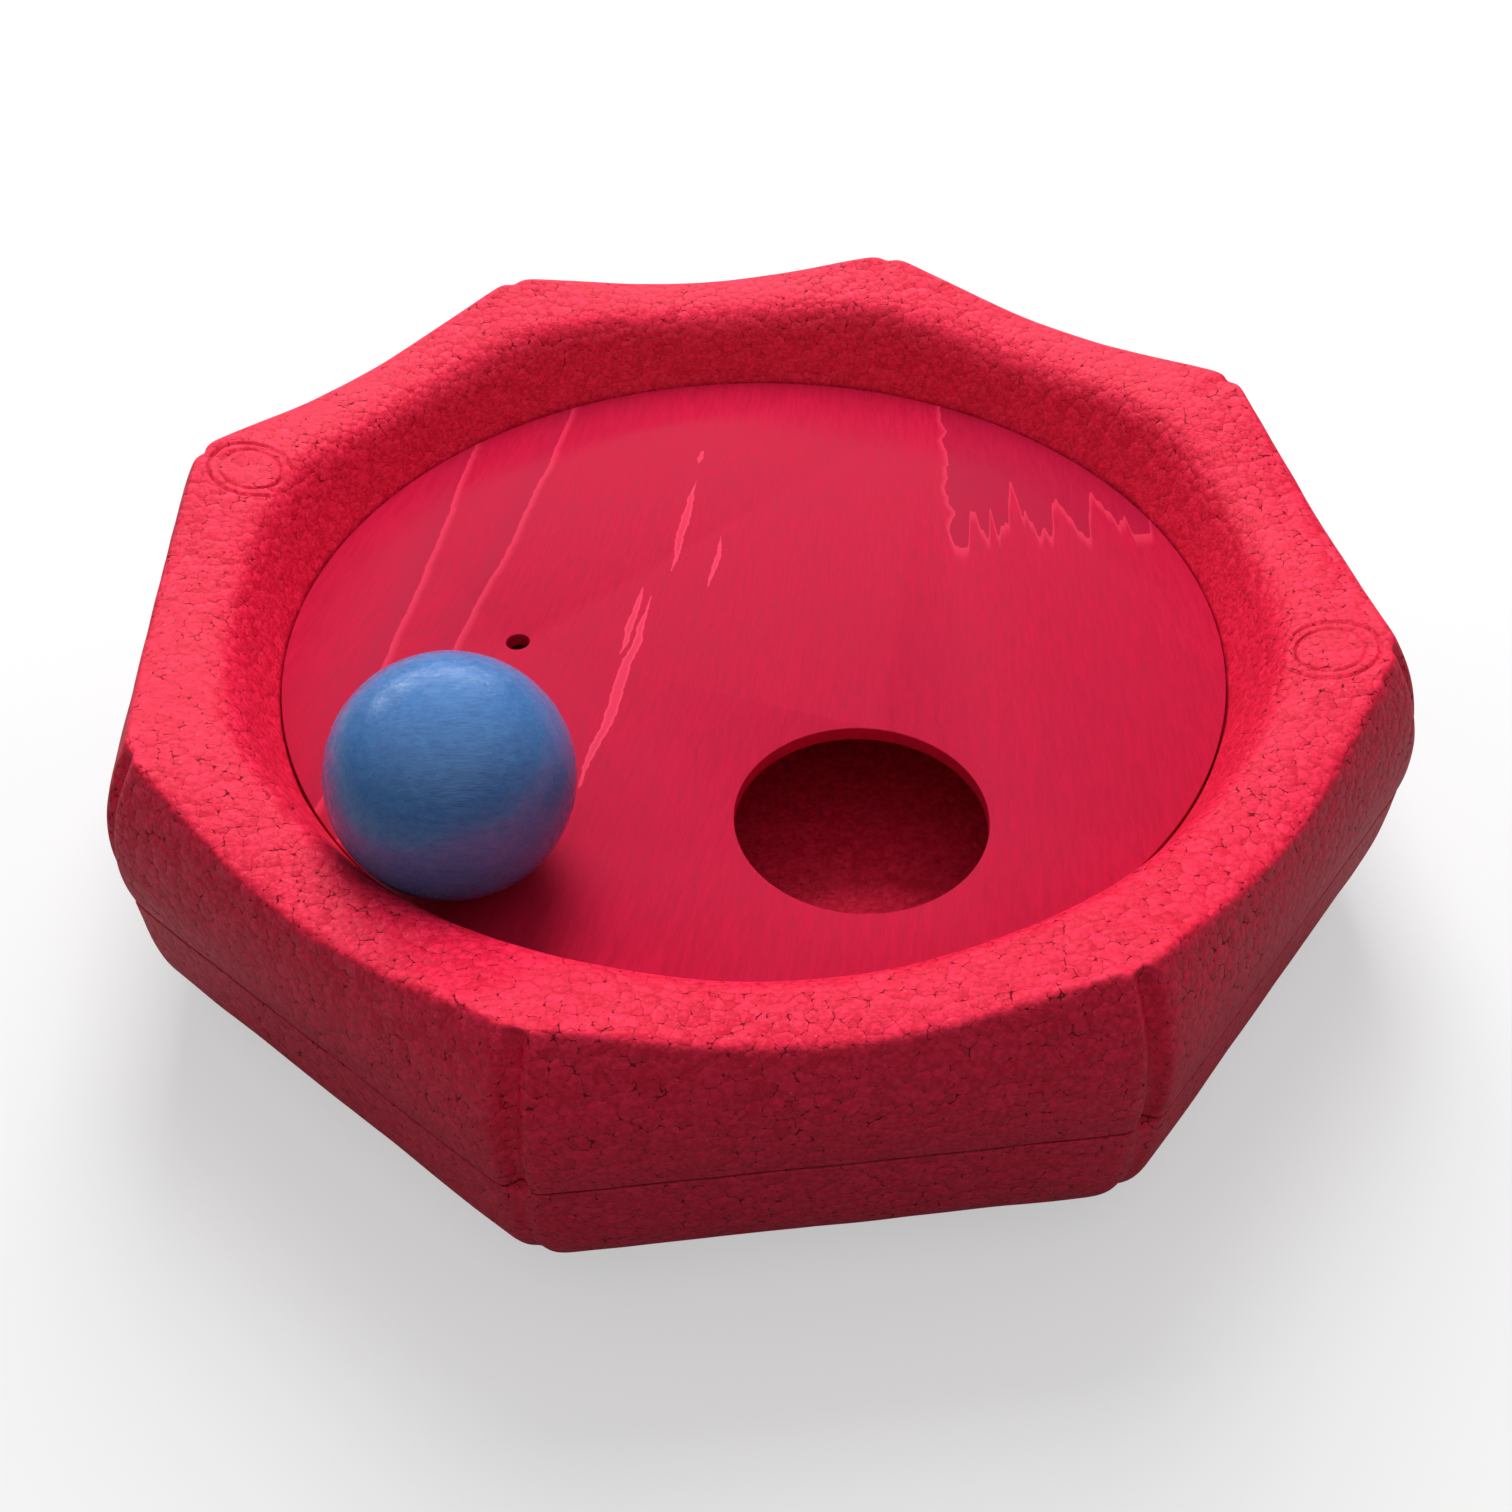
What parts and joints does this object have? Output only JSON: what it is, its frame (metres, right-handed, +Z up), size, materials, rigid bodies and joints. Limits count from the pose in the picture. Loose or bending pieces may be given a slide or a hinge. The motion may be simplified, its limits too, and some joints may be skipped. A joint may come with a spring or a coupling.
{
  "type": "ball balancing tray",
  "caption": "Eight-sided moulded foam dish with a loose round wooden disc lying on a ledge inside it, and a wooden ball that rolls on the disc and drops in a round hole.",
  "frame": {"origin": "middle of the flat underside, on the tray's axis", "axes": "+Z up out of the dish; the tray's flat sides face +X, -X, +Y and -Y and the four diagonals between them"},
  "size_m": [0.4032, 0.4032, 0.1428],
  "materials": {
    "red_foam": "matte",
    "red_plywood": "satin",
    "blue_wood": "satin"
  },
  "bodies": {
    "tray": {"foam_tray": "red_foam"},
    "disc": {"game_disc": "red_plywood"},
    "ball": {"wooden_ball": "blue_wood"}
  },
  "joints": [
    {"name": "disc_lift", "type": "slide", "parent": "tray", "child": "disc", "axis": [0, 0, 1], "range_m": [0, 0.06]},
    {"name": "ball_roll", "type": "hinge", "parent": "disc", "child": "ball", "pos_m": [0, 0, 0.1078], "axis": [0, 0, 1], "continuous": true}
  ]
}
